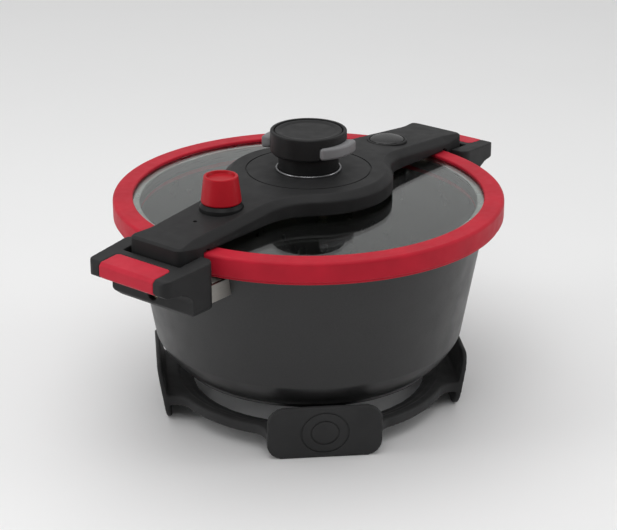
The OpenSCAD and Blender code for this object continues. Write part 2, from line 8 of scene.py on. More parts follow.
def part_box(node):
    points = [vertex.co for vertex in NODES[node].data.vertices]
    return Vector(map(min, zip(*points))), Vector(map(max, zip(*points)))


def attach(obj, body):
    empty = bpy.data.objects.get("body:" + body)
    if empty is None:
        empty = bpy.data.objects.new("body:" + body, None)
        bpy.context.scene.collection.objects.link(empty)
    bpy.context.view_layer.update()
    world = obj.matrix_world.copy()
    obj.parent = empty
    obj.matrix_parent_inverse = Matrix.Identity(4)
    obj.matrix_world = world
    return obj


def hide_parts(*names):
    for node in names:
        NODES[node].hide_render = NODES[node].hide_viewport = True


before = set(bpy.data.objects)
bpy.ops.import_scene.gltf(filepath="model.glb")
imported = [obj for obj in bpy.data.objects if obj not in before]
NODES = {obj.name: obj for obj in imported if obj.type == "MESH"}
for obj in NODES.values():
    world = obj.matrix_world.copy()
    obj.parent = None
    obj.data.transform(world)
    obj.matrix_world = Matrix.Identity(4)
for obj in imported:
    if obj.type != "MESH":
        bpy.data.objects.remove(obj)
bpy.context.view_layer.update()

# Lengths below are in millimetres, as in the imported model's own design, and MM turns them into metres.
MM = 0.001
SEGMENTS = 192


def low(node):
    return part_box(node)[0] / MM


def high(node):
    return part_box(node)[1] / MM


# Levels and radii that several pieces share
POT_Z = low("pot_base_disc").z
RIM_Z = high("pot_body").z
LID_Z = high("lid_seal").z
POT_H = RIM_Z - POT_Z
RIM_R = high("pot_body").x
SEAL_R = high("lid_seal").x
GLASS_R = high("lid_glass").x
BAR_L = high("bar_housing").x
HUB_R = high("bar_housing").y
HUB_TOP = high("bar_housing").z - LID_Z
VALVE_X = -(low("valve_collar").x + high("valve_collar").x) / 2
COLLAR_R = high("valve_collar").y
KNOB_R = high("knob_body").x
NECK_Z = low("knob_body").z - LID_Z
KNOB_TOP_Z = high("knob_body").z - LID_Z
BAND_R = 109.2
SHELL_T = 2.8
BAR_HALF_W = 21.2
SEAT_FLAT_Z = 11.4


# ------------------------------------------------------------------ shapes

def curve(a, b, c, steps):
    """Points on a quadratic curve from a to c, pulled towards b."""
    out = []
    for i in range(steps + 1):
        t = i / steps
        out.append(tuple((1 - t) ** 2 * p + 2 * t * (1 - t) * q + t * t * r for p, q, r in zip(a, b, c)))
    return out


def rounded(path, steps=4):
    """A closed outline of (x, y) or (x, y, radius) points, with each radius turned into an arc."""
    out = []
    for i, point in enumerate(path):
        here = Vector(point[:2])
        if len(point) == 2:
            out.append(tuple(here))
            continue
        back = Vector(path[i - 1][:2]) - here
        ahead = Vector(path[(i + 1) % len(path)][:2]) - here
        half = back.angle(ahead) / 2
        run = min(point[2] / tan(half), back.length * 0.49, ahead.length * 0.49)
        radius = run * tan(half)
        centre = here + (back.normalized() + ahead.normalized()).normalized() * radius / sin(half)
        first = here + back.normalized() * run - centre
        last = here + ahead.normalized() * run - centre
        start = atan2(first.y, first.x)
        sweep = (atan2(last.y, last.x) - start + pi) % (2 * pi) - pi
        for k in range(steps + 1):
            angle = start + sweep * k / steps
            out.append((centre.x + radius * cos(angle), centre.y + radius * sin(angle)))
    return out


def revolve(path, centre=(0, 0), z=0, segments=SEGMENTS, bm=None):
    """Turns a closed (radius, height) outline about a vertical axis."""
    bm = bm or bmesh.new()
    rings = []
    for radius, height in path:
        count = 1 if radius < 1e-6 else segments
        rings.append([
            bm.verts.new((centre[0] + radius * cos(2 * pi * k / segments),
                          centre[1] + radius * sin(2 * pi * k / segments), z + height))
            for k in range(count)])
    for i, ring in enumerate(rings):
        other = rings[(i + 1) % len(rings)]
        for k in range(segments):
            corners = [ring[k % len(ring)], ring[(k + 1) % len(ring)],
                       other[(k + 1) % len(other)], other[k % len(other)]]
            unique = list(dict.fromkeys(corners))
            if len(unique) > 2:
                bm.faces.new(unique)
    return bm


def box(x0, x1, y0, y1, z0, z1, bm=None):
    """A plain block, used only to cut other pieces."""
    bm = bm or bmesh.new()
    made = bmesh.ops.create_cube(bm, size=1)["verts"]
    bmesh.ops.scale(bm, vec=(x1 - x0, y1 - y0, z1 - z0), verts=made)
    bmesh.ops.translate(bm, vec=((x0 + x1) / 2, (y0 + y1) / 2, (z0 + z1) / 2), verts=made)
    return bm


def bridge(bm, one, two):
    """Faces between two closed loops with the same number of points."""
    count = len(one)
    for k in range(count):
        bm.faces.new((one[k], one[(k + 1) % count], two[(k + 1) % count], two[k]))


def make_object(name, bm):
    """A linked object from a bmesh in millimetres."""
    bmesh.ops.recalc_face_normals(bm, faces=bm.faces)
    mesh = bpy.data.meshes.new(name)
    bm.to_mesh(mesh)
    bm.free()
    mesh.transform(Matrix.Scale(MM, 4))
    thing = bpy.data.objects.new(name, mesh)
    bpy.context.scene.collection.objects.link(thing)
    return thing


def bake(thing):
    """Replaces an object's mesh by its evaluated one and drops the modifiers."""
    shape = thing.evaluated_get(bpy.context.evaluated_depsgraph_get())
    mesh = bpy.data.meshes.new_from_object(shape)
    thing.modifiers.clear()
    thing.data = mesh


def cut(thing, tool_bm):
    """Takes the tool's volume out of an object."""
    tool = make_object("cutter", tool_bm)
    step = thing.modifiers.new("Cut", "BOOLEAN")
    step.object = tool
    step.solver = "EXACT"
    bake(thing)
    bpy.data.objects.remove(tool)


def softened(name, node, voxel, passes):
    """A copy of a CAD node's shape with its edges rounded as a mould leaves them."""
    mesh = NODES[node].data.copy()
    thing = bpy.data.objects.new(name, mesh)
    bpy.context.scene.collection.objects.link(thing)
    remesh = thing.modifiers.new("Remesh", "REMESH")
    remesh.mode = "VOXEL"
    remesh.voxel_size = voxel * MM
    smooth = thing.modifiers.new("Smooth", "SMOOTH")
    smooth.factor = 0.5
    smooth.iterations = passes
    bake(thing)
    return thing


def place(thing, body, slot, material, nodes=(), sharp=35):
    """Shades a piece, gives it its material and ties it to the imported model."""
    mesh = thing.data
    mesh.shade_smooth()
    mesh.set_sharp_from_angle(angle=radians(sharp))
    mesh.materials.clear()
    mesh.materials.append(material)
    weighted = thing.modifiers.new("WeightedNormal", "WEIGHTED_NORMAL")
    weighted.keep_sharp = True
    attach(thing, body)
    if nodes:
        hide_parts(*nodes)
    return thing


# --------------------------------------------------------------- materials

class Graph:
    """A node material that is built step by step."""

    def __init__(self, name, colour, roughness, metallic=0.0):
        self.material = bpy.data.materials.new(name)
        self.material.use_nodes = True
        self.tree = self.material.node_tree
        self.shader = self.tree.nodes["Principled BSDF"]
        self.colour = colour
        self.set("Base Color", (*colour, 1))
        self.set("Roughness", roughness)
        self.set("Metallic", metallic)
        self.place = self.add("ShaderNodeTexCoord").outputs["Object"]

    def add(self, kind, **values):
        node = self.tree.nodes.new(kind)
        for key, value in values.items():
            setattr(node, key, value)
        return node

    def set(self, socket, value):
        self.shader.inputs[socket].default_value = value

    def join(self, source, target):
        self.tree.links.new(source, target)

    def noise(self, size, detail=3.0, stretch=(1, 1, 1), place=None):
        """Noise whose features are about size millimetres across, longer where stretch is above 1."""
        mapping = self.add("ShaderNodeMapping")
        self.join(place or self.place, mapping.inputs["Vector"])
        mapping.inputs["Scale"].default_value = [1 / (size * MM * s) for s in stretch]
        texture = self.add("ShaderNodeTexNoise")
        self.join(mapping.outputs[0], texture.inputs["Vector"])
        texture.inputs["Scale"].default_value = 1
        texture.inputs["Detail"].default_value = detail
        return texture.outputs["Fac"]

    def span(self, value, bottom, top, start=0.3, end=0.7):
        """Maps a value from start..end to bottom..top."""
        node = self.add("ShaderNodeMapRange")
        self.join(value, node.inputs["Value"])
        for socket, number in zip(("From Min", "From Max", "To Min", "To Max"), (start, end, bottom, top)):
            node.inputs[socket].default_value = number
        return node.outputs[0]

    def tint(self, value, darker, lighter):
        """Varies the base colour between two multiples of itself."""
        mix = self.add("ShaderNodeMix", data_type="RGBA")
        self.join(self.span(value, 0, 1), mix.inputs["Factor"])
        mix.inputs["A"].default_value = (*[c * darker for c in self.colour], 1)
        mix.inputs["B"].default_value = (*[min(1, c * lighter) for c in self.colour], 1)
        self.join(mix.outputs["Result"], self.shader.inputs["Base Color"])

    def rough(self, value, bottom, top):
        self.join(self.span(value, bottom, top), self.shader.inputs["Roughness"])

    def bump(self, value, depth, strength=1.0):
        """Relief of depth millimetres."""
        node = self.add("ShaderNodeBump")
        node.inputs["Distance"].default_value = depth * MM
        node.inputs["Strength"].default_value = strength
        previous = self.shader.inputs["Normal"].links
        if previous:
            self.join(previous[0].from_socket, node.inputs["Normal"])
        self.join(value, node.inputs["Height"])
        self.join(node.outputs["Normal"], self.shader.inputs["Normal"])


def moulded_plastic(name, colour, roughness, grain=0.35, shine=0.17):
    """Spark-eroded mould texture, with slow changes of gloss."""
    g = Graph(name, colour, roughness)
    g.tint(g.noise(28), 0.92, 1.1)
    g.set("Specular IOR Level", shine)
    g.rough(g.noise(9, 4), roughness - 0.05, roughness + 0.06)
    g.bump(g.noise(grain, 2), 0.035, 0.55)
    return g.material


def silicone(name, colour, roughness, grain=0.6):
    """Soft rubber with a faint dusty bloom."""
    g = Graph(name, colour, roughness)
    g.tint(g.noise(22, 5), 0.9, 1.12)
    g.rough(g.noise(6, 4), roughness - 0.06, roughness + 0.07)
    g.set("Specular IOR Level", 0.14)
    g.set("Sheen Weight", 0.02)
    g.set("Sheen Roughness", 0.6)
    g.bump(g.noise(grain, 3), 0.04, 0.45)
    return g.material


def cast_coating(name, colour, roughness, shine=0.42):
    """Sprayed satin coating: fine orange peel and small dull flecks."""
    g = Graph(name, colour, roughness)
    g.tint(g.noise(0.9, 4), 0.82, 1.25)
    g.rough(g.noise(14, 5), roughness - 0.05, roughness + 0.06)
    g.set("Specular IOR Level", shine)
    g.bump(g.noise(1.8, 2), 0.05, 0.35)
    g.bump(g.noise(0.45, 2), 0.02, 0.4)
    return g.material


def brushed_steel(name, colour, roughness, stretch):
    """Fine scratches, long in the directions where stretch is large."""
    g = Graph(name, colour, roughness, 1.0)
    lines = g.noise(0.16, 3, stretch)
    g.tint(lines, 0.86, 1.1)
    g.rough(g.noise(0.5, 4, stretch), roughness - 0.07, roughness + 0.12)
    g.bump(lines, 0.012, 0.5)
    return g.material


def turned_steel(name, colour, roughness):
    """Concentric tool marks round the object's vertical axis."""
    g = Graph(name, colour, roughness, 1.0)
    apart = g.add("ShaderNodeSeparateXYZ")
    g.join(g.place, apart.inputs[0])
    flat = g.add("ShaderNodeCombineXYZ")
    g.join(apart.outputs["X"], flat.inputs["X"])
    g.join(apart.outputs["Y"], flat.inputs["Y"])
    radius = g.add("ShaderNodeVectorMath", operation="LENGTH")
    g.join(flat.outputs[0], radius.inputs[0])
    line = g.add("ShaderNodeCombineXYZ")
    g.join(radius.outputs["Value"], line.inputs["X"])
    g.join(apart.outputs["Z"], line.inputs["Y"])
    marks = g.noise(0.4, 4, place=line.outputs[0])
    g.tint(marks, 0.82, 1.12)
    g.rough(marks, roughness - 0.06, roughness + 0.1)
    g.bump(marks, 0.02, 0.6)
    return g.material


def clear_glass():
    """Tempered glass with a faint green tint and a trace of smears."""
    g = Graph("glass_clear", (0.9, 0.955, 0.93), 0.02)
    g.set("Transmission Weight", 1.0)
    g.set("IOR", 1.5)
    g.rough(g.noise(35, 4), 0.0, 0.05)
    return g.material


RED = (0.45, 0.011, 0.027)
MATERIALS = {
    "trivet": silicone("silicone_black", (0.032, 0.032, 0.0325), 0.58),
    "pot_outside": cast_coating("coating_graphite", (0.013, 0.013, 0.0134), 0.38, shine=0.46),
    "pot_inside": cast_coating("coating_black", (0.013, 0.0122, 0.0105), 0.3, shine=0.7),
    "base": turned_steel("steel_turned", (0.46, 0.46, 0.47), 0.3),
    "bracket": brushed_steel("steel_brushed", (0.46, 0.44, 0.41), 0.34, (60, 60, 1)),
    "grip": moulded_plastic("plastic_grip", (0.019, 0.019, 0.0195), 0.5),
    "insert": silicone("silicone_grip_red", (0.48, 0.018, 0.038), 0.5),
    "seal": silicone("silicone_seal_red", RED, 0.5, 0.8),
    "gasket": silicone("silicone_gasket", (0.2, 0.016, 0.024), 0.55),
    "valve": moulded_plastic("plastic_valve_red", (0.4, 0.006, 0.014), 0.36),
    "band": brushed_steel("steel_band", (0.5, 0.5, 0.49), 0.3, (40, 40, 1)),
    "bar": moulded_plastic("plastic_bar", (0.021, 0.021, 0.0215), 0.5, shine=0.14),
    "knob": moulded_plastic("plastic_knob", (0.014, 0.014, 0.0143), 0.4, shine=0.14),
    "button": moulded_plastic("plastic_button", (0.011, 0.011, 0.0115), 0.24, shine=0.4),
    "wing": moulded_plastic("plastic_wing", (0.2, 0.2, 0.205), 0.46, shine=0.3),
    "chrome": brushed_steel("chrome_ring", (0.3, 0.3, 0.31), 0.3, (40, 40, 1)),
    "machined": turned_steel("steel_machined", (0.58, 0.57, 0.55), 0.28),
    "latch": brushed_steel("steel_latch", (0.66, 0.64, 0.6), 0.3, (60, 1, 60)),
    "fastener": turned_steel("steel_fastener", (0.46, 0.4, 0.3), 0.34),
    "rubber": silicone("rubber_black", (0.016, 0.016, 0.017), 0.6),
    "glass": clear_glass(),
}


# ------------------------------------------------------------------ trivet

TAB_TOP_R = 93.4
TAB_LEAN = 6
TAB_T = 3.5
TAB_ANGLE = atan2(TAB_LEAN, high("trivet").z)
FRONT_TAB_DIRECTION = 225
CIRCLE_RADII = (15.5, 9.3)
GROOVE_DEPTH = 0.55


def make_trivet():
    """Moulded ring with four tabs. The front tab carries two plain circles."""
    trivet = softened("trivet_ring", "trivet", 0.9, 9)
    circles = bmesh.new()
    for radius in CIRCLE_RADII:
        groove = rounded([
            (radius - 1.1, -GROOVE_DEPTH, 0.2), (radius, -GROOVE_DEPTH, 0.2),
            (radius + 0.25, 1.5), (radius - 1.35, 1.5)], 3)
        revolve(groove, segments=96, bm=circles)
    spot = Vector((TAB_TOP_R + TAB_LEAN / 2 + TAB_T, 0, high("trivet").z / 2))
    turn = Matrix.Rotation(radians(FRONT_TAB_DIRECTION), 4, "Z") @ Matrix.Translation(spot)
    turn = turn @ Matrix.Rotation(radians(90) + TAB_ANGLE, 4, "Y")
    bmesh.ops.transform(circles, matrix=turn, verts=circles.verts)
    cut(trivet, circles)
    place(trivet, "trivet", "trivet_silicone", MATERIALS["trivet"], ["trivet"], 50)


# --------------------------------------------------------------------- pot

BASE_T = 2.6
FLOOR_Z = 6.6
KNEE = (101.8, 22)
MOUTH_R = 113.5
WALL_T = 3.2
RIVET_X = 111.6


def pot_outline():
    """Half section of the pot, from the middle of its base up the outside and down the inside."""
    foot = (high("pot_base_disc").x + 2, BASE_T)
    inner_knee = (KNEE[0] - WALL_T, KNEE[1] + 1)
    wall_top = POT_H - 4
    outside = curve(foot, (96.5, 10), KNEE, 14)[1:]
    lip = rounded([
        KNEE, (115.8, wall_top, 1.5), (RIM_R - 0.6, wall_top + 0.9, 0.7),
        (RIM_R, POT_H - 1.2, 0.9), (RIM_R - 1.6, POT_H, 1.3), (MOUTH_R + 0.5, POT_H, 0.6),
        (MOUTH_R - 0.6, POT_H - 3, 1.0), inner_knee], 5)
    inside = curve(inner_knee, (93.1, 13), (foot[0] - 5, FLOOR_Z), 14)
    base = high("pot_base_disc").x + 0.05
    under = rounded([(0, BASE_T), (base, BASE_T), (base, 0.6, 0.2), (foot[0], 0.6, 0.9), foot], 4)
    return (under + outside + lip[1:-1]), (inside + [(0, FLOOR_Z)])


def make_pot():
    outside, inside = pot_outline()
    pot = make_object("pot_casting", revolve(outside + inside, z=POT_Z, segments=256))
    pot.data.materials.append(MATERIALS["pot_outside"])
    place(pot, "pot", "pot_coating", MATERIALS["pot_outside"], ["pot_body"], 50)
    pot.data.materials.append(MATERIALS["pot_inside"])
    for face in pot.data.polygons:
        middle = face.center / MM
        inward = face.normal.xy.dot(middle.xy) < -0.3 * middle.xy.length
        floor = face.normal.z > 0.5 and middle.z < POT_Z + 30
        if inward or floor:
            face.material_index = 1


def make_base_disc():
    """Induction disc with a rolled edge and three turned grooves."""
    edge = high("pot_base_disc").x
    path = [(0, BASE_T), (0, 0)]
    for groove in (30, 52, 74):
        path += [(groove - 0.7, 0), (groove - 0.4, 0.5), (groove + 0.4, 0.5), (groove + 0.7, 0)]
    path += rounded([(80, 0), (edge, 0, 0.8), (edge, BASE_T, 0.1), (60, BASE_T)])[:-1]
    disc = make_object("base_disc", revolve(path, z=POT_Z))
    place(disc, "pot", "base_steel", MATERIALS["base"], ["pot_base_disc"])


def make_handles():
    for side in ("left", "right"):
        grip = softened(side + "_grip", side + "_handle", 0.55, 5)
        place(grip, "pot", "handle_plastic", MATERIALS["grip"], [side + "_handle"], 60)
        pad = softened(side + "_grip_pad", side + "_grip_insert", 0.45, 4)
        place(pad, "pot", "red_silicone", MATERIALS["insert"], [side + "_grip_insert"], 60)


def rivet_profile(head_in, head_out):
    """Domed head inside the wall, shank, and flatter head outside, along one axis."""
    return ([(0, -head_in)]
            + [(6 * sin(radians(a)), -0.4 - (head_in - 0.4) * cos(radians(a))) for a in (20, 40, 60, 75, 90)]
            + [(6, 0), (3, 0), (3, 3.4), (5, 3.4)]
            + [(5 * cos(radians(a)), 3.4 + head_out * sin(radians(a))) for a in (20, 45, 70)]
            + [(0, 3.4 + head_out)])


def make_rivets():
    level = (low("bracket_rivets").z + high("bracket_rivets").z) / 2
    for side, name in ((-1, "left_rivet"), (1, "right_rivet")):
        bm = revolve(rivet_profile(2.0, 1.6), segments=48)
        turn = Matrix.Rotation(radians(90 * side), 4, "Y")
        bmesh.ops.transform(bm, matrix=Matrix.Translation((side * RIVET_X, 0, level)) @ turn, verts=bm.verts)
        rivet = make_object(name, bm)
        place(rivet, "pot", "pot_coating", MATERIALS["pot_inside"])
    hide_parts("bracket_rivets")


# --------------------------------------------------------------------- lid

GLASS_RISE = 3.0
GLASS_T = 4.0
VALVE_HOLE_R = 6


def glass_z(radius):
    """Height of the glass's upper face above the seal's top."""
    dome = (GLASS_R ** 2 + GLASS_RISE ** 2) / (2 * GLASS_RISE)
    return high("lid_glass").z - LID_Z - dome + sqrt(dome ** 2 - radius ** 2)


def make_glass():
    radii = [6.6 + (GLASS_R - 0.8 - 6.6) * i / 16 for i in range(17)]
    upper = [(r, glass_z(r)) for r in radii]
    edge_mid = glass_z(GLASS_R) - GLASS_T / 2
    rim = [(GLASS_R - 0.8 + 0.8 * cos(a), edge_mid + (GLASS_T / 2 - 0.05) * sin(a))
           for a in (radians(60), radians(30), 0, radians(-30), radians(-60))]
    lower = [(r, glass_z(r) - GLASS_T) for r in reversed(radii)]
    glass = make_object("glass_disc", revolve(upper + rim + lower, z=LID_Z))
    hole = [(0, -20), (VALVE_HOLE_R, -20), (VALVE_HOLE_R, 20), (0, 20)]
    holes = revolve(hole, (-VALVE_X, 0), LID_Z, 48)
    revolve(hole, (VALVE_X, 0), LID_Z, 48, holes)
    cut(glass, holes)
    place(glass, "lid", "glass", MATERIALS["glass"], ["lid_glass"])


def make_seal():
    skirt = low("lid_seal").z - LID_Z
    seat = skirt + 3.7
    path = rounded([
        (114, -1.98), (114, 0, 0.9), (SEAL_R, 0, 2.2), (SEAL_R, skirt + 2.2, 0.7),
        (SEAL_R - 1.2, skirt + 1.8, 0.3), (SEAL_R - 1.2, skirt, 0.8), (RIM_R + 0.7, skirt, 0.6),
        (RIM_R + 0.6, seat, 0.3), (113.1, seat, 0.8), (111.9, seat - 6.2, 0.5),
        (BAND_R + 0.9, seat - 6.6, 0.3), (BAND_R + 0.9, -7.0), (GLASS_R, -7.0), (GLASS_R, -1.98)], 5)
    seal = make_object("seal_ring", revolve(path, z=LID_Z, segments=256))
    place(seal, "lid", "red_silicone", MATERIALS["seal"], ["lid_seal"])


def make_seal_band():
    foot = low("seal_band").z - LID_Z
    path = rounded([
        (BAND_R, foot, 0.3), (BAND_R + 0.9, foot, 0.3), (BAND_R + 0.9, -7.0, 0.3), (GLASS_R, -7.0, 0.2),
        (GLASS_R, -6.1, 0.2), (BAND_R, -6.1, 1.0)], 4)
    band = make_object("seal_ring_band", revolve(path, z=LID_Z))
    place(band, "lid", "seal_band_steel", MATERIALS["band"], ["seal_band"])


# --------------------------------------------------------------- cross bar

FILLET_R = 45
CORNER_R = 5
ARM_TAPER = 5
STEP_R = SEAL_R + 0.6
FLAT_X = 50
END_TOP_Z = 7.4
HUB_CEILING_Z = HUB_TOP - SHELL_T - 0.8
END_CEILING_Z = 5.9
END_FOOT_Z = -6.4
FOOT_Z = 2.3
FOOT_FALL = 1.7
FOOT_FALL_RUN = 57
LOWEST_FOOT_Z = 0.35
NARROW_FROM_X = 126
NARROWING = 0.72
SPINDLE_HOLE_R = 5.06
SEAT_HOLE_R = 5.6
VENT_X = -109
VENT_R = 1.3
NOTCH_X = (120.6, 123.4)
# Shoulder along the bar's upper edge, as (inset, drop) pairs from the top face to the wall
SHOULDER = [
    (5.6, 0), (5.0, 0.08), (4.5, 0.3), (4.0, 0.66), (1.2, 2.95), (0.7, 3.42), (0.3, 3.95),
    (0.08, 4.5), (0, 5.1)]
FOOT_ROUND = 1.0
ACROSS = 14


def bar_stations():
    """Quarter outline of the bar from the hub's side to the end face: points and outward normals."""
    fall = ARM_TAPER / BAR_L
    middle_w = BAR_HALF_W + ARM_TAPER
    normal = Vector((fall, 1)).normalized()
    along = Vector((normal.y, -normal.x))
    line = middle_w * normal.y
    reach = line + FILLET_R
    centre = normal * reach + along * sqrt((HUB_R + FILLET_R) ** 2 - reach ** 2)
    turn = atan2(centre.y, centre.x)
    stations = []
    for i in range(17):
        a = pi / 2 + (turn - pi / 2) * i / 16
        stations.append((Vector((cos(a), sin(a))) * HUB_R, Vector((cos(a), sin(a)))))
    start, end = turn + pi, atan2(-normal.y, -normal.x) + 2 * pi
    for i in range(1, 17):
        a = start + (end - start) * i / 16
        out = Vector((cos(a), sin(a)))
        stations.append((centre + out * FILLET_R, -out))
    corner = Vector((BAR_L - CORNER_R, 0))
    corner.y = (line - CORNER_R - normal.x * corner.x) / normal.y
    first, last = stations[-1][0], corner + normal * CORNER_R
    step_x = sqrt(STEP_R ** 2 - last.y ** 2)
    places = [first.x + (step_x - first.x) * i / 14 for i in range(1, 14)]
    places += [step_x - 0.2, step_x + 0.2, step_x + 5, step_x + 10]
    for x in places:
        stations.append((first.lerp(last, (x - first.x) / (last.x - first.x)), normal))
    for i in range(9):
        a = atan2(normal.y, normal.x) * (1 - i / 8)
        out = Vector((cos(a), sin(a)))
        stations.append((corner + out * CORNER_R, out))
    return stations


def bar_top(x):
    """Height of the bar's top: flat over the hub, then falling evenly to each end."""
    slope = (HUB_TOP - END_TOP_Z) / (BAR_L - FLAT_X)
    past = abs(x) - FLAT_X
    ease = 10
    if past < -ease:
        return HUB_TOP
    if past < ease:
        return HUB_TOP - slope * (past + ease) ** 2 / (4 * ease)
    return HUB_TOP - slope * past


def bar_ceiling(x):
    """Height of the hollow inside the bar, which leaves room for the latch plates at the ends."""
    rise = HUB_CEILING_Z - END_CEILING_Z
    inner_end = BAR_L - SHELL_T
    return min(HUB_CEILING_Z, END_CEILING_Z + rise * (inner_end - abs(x)) / (inner_end - FLAT_X))


def bar_foot(x, y):
    """Height of the lower edge of the bar's side wall."""
    if hypot(x, y) > STEP_R:
        return END_FOOT_Z
    return max(LOWEST_FOOT_Z, min(FOOT_Z, FOOT_Z - FOOT_FALL * (abs(x) - HUB_R) / FOOT_FALL_RUN))


def shoulder_share(x):
    """The shoulder narrows to a small edge at the bar's ends."""
    t = min(1, max(0, (abs(x) - NARROW_FROM_X) / (BAR_L - NARROW_FROM_X)))
    return 1 - NARROWING * t * t * (3 - 2 * t)


def bar_loop(bm, stations, inset, height, share=lambda x: 1):
    """One closed ring of the bar's outline, drawn in by inset. height(x, y, X, Y) gives each point's level,
    with X, Y the place on the outline itself, and share(X) scales the inset along the bar."""
    quarter = [(p, p - n * inset * share(p.x)) for p, n in stations]
    half = [(Vector((-p.x, p.y)), Vector((-q.x, q.y))) for p, q in reversed(quarter[1:])] + quarter
    end_y = quarter[-1][0].y
    across = [end_y * (2 * j / ACROSS - 1) for j in range(1, ACROSS)]
    ring = [(Vector((p.x, -p.y)), Vector((q.x, -q.y))) for p, q in half]
    end_x = quarter[-1][1].x
    ring += [(Vector((BAR_L, y)), Vector((end_x, y))) for y in across]
    ring += list(reversed(half))
    ring += [(Vector((-BAR_L, -y)), Vector((-end_x, -y))) for y in across]
    return [bm.verts.new((q.x, q.y, height(q.x, q.y, p.x, p.y))) for p, q in ring]


def bar_grid(bm, ring, count, height):
    """Fills the inside of a ring made by bar_loop with rows across the bar."""
    bottom, right = ring[:count], ring[count:count + ACROSS - 1]
    top = ring[count + ACROSS - 1:2 * count + ACROSS - 1][::-1]
    left = ring[2 * count + ACROSS - 1:][::-1]
    columns = []
    for i in range(count):
        if i == 0:
            inner = left
        elif i == count - 1:
            inner = right
        else:
            inner = []
            for j in range(1, ACROSS):
                spot = bottom[i].co.lerp(top[i].co, j / ACROSS)
                inner.append(bm.verts.new((spot.x, spot.y, height(spot.x, spot.y, spot.x, spot.y))))
        columns.append([bottom[i]] + inner + [top[i]])
    for one, two in zip(columns, columns[1:]):
        for j in range(ACROSS):
            bm.faces.new((one[j], one[j + 1], two[j + 1], two[j]))


def bar_shell():
    """Hollow bar: crowned edge, upright walls, rounded lower edge, and the same again inside."""
    bm = bmesh.new()
    stations = bar_stations()
    count = 2 * len(stations) - 1
    rings = []
    for inset, drop in SHOULDER:
        rings.append(bar_loop(bm, stations, inset, lambda x, y, X, Y: bar_top(X) - drop * shoulder_share(X),
                              shoulder_share))
    bar_grid(bm, rings[0], count, lambda x, y, X, Y: bar_top(x))
    for share in (0.33, 0.67):
        rings.append(bar_loop(bm, stations, 0, lambda x, y, X, Y: (
            (bar_top(X) - SHOULDER[-1][1] * shoulder_share(X)) * (1 - share)
            + (bar_foot(X, Y) + FOOT_ROUND) * share)))
    for k in range(4):
        t = radians(30 * k)
        lift = FOOT_ROUND * (1 - sin(t))
        rings.append(bar_loop(bm, stations, FOOT_ROUND * (1 - cos(t)),
                              lambda x, y, X, Y: bar_foot(X, Y) + lift))
    rings.append(bar_loop(bm, stations, SHELL_T, lambda x, y, X, Y: bar_foot(X, Y)))
    rings.append(bar_loop(bm, stations, SHELL_T, lambda x, y, X, Y: bar_ceiling(x)))
    bar_grid(bm, rings[-1], count, lambda x, y, X, Y: bar_ceiling(x))
    for one, two in zip(rings, rings[1:]):
        bridge(bm, one, two)
    bmesh.ops.translate(bm, vec=(0, 0, LID_Z), verts=bm.verts)
    return make_object("bar_shell", bm)


def make_bar():
    bar = bar_shell()
    hub_groove = revolve(rounded([
        (40.0, HUB_TOP - 0.7, 0.2), (40.9, HUB_TOP - 0.7, 0.2), (41.2, HUB_TOP + 2), (39.7, HUB_TOP + 2)], 3),
        z=LID_Z, segments=160)
    cut(bar, hub_groove)
    spindle_hole = [(0, -5), (SPINDLE_HOLE_R, -5), (SPINDLE_HOLE_R, 30), (0, 30)]
    tools = revolve(spindle_hole, z=LID_Z, segments=48)
    flat_r = COLLAR_R + 0.2
    flat = [
        (0, 5), (SEAT_HOLE_R, 5), (SEAT_HOLE_R, SEAT_FLAT_Z), (flat_r, SEAT_FLAT_Z),
        (flat_r, 25), (0, 25)]
    for x in (-VALVE_X, VALVE_X):
        revolve(flat, (x, 0), LID_Z, 96, tools)
    revolve([(0, 5), (VENT_R, 5), (VENT_R, 25), (0, 25)], (VENT_X, 0), LID_Z, 32, tools)
    cut(bar, tools)
    notch = bmesh.new()
    for side in (-1, 1):
        x0, x1 = sorted((side * NOTCH_X[0], side * NOTCH_X[1]))
        box(x0, x1, -40, 40, LID_Z - 1, LID_Z + 2.1, notch)
    cut(bar, notch)
    place(bar, "lid", "handle_plastic", MATERIALS["bar"], ["bar_housing"])


def make_trim_ring():
    base = HUB_TOP
    path = rounded([(20.2, base), (21.4, base, 0.4), (21.4, base + 1.4, 0.6), (20.2, base + 1.4, 0.3)], 5)
    ring = make_object("knob_foot_ring", revolve(path, z=LID_Z, segments=128))
    place(ring, "lid", "chrome_trim", MATERIALS["chrome"], ["knob_trim_ring"])


# ------------------------------------------------------------------ valves

def make_valve_collar():
    path = rounded([
        (5.5, SEAT_FLAT_Z), (COLLAR_R, SEAT_FLAT_Z, 0.2), (COLLAR_R, 14.0, 0.7),
        (12.0, 16.2, 0.5), (10.6, 16.2, 0.4), (10.2, 15.3, 0.3), (5.5, 15.3)])
    collar = make_object("pressure_collar", revolve(path, (-VALVE_X, 0), LID_Z, 96))
    place(collar, "lid", "knob_plastic", MATERIALS["knob"], ["valve_collar"])


def make_valve_cap():
    """Tapered cap, hollow below and dished on top."""
    path = rounded([
        (8.4, 16.6), (12.3, 16.6, 0.3), (12.6, 17.4, 0.4), (10.6, 33.6, 1.1), (8.9, 33.5, 0.5),
        (8.2, 31.6, 0.5), (0, 31.4), (0, 30.3), (7.6, 30.3, 0.4), (8.3, 18)], 5)
    cap = make_object("pressure_cap", revolve(path, (-VALVE_X, 0), LID_Z, 96))
    place(cap, "pressure_valve", "valve_red", MATERIALS["valve"], ["valve_cap"])


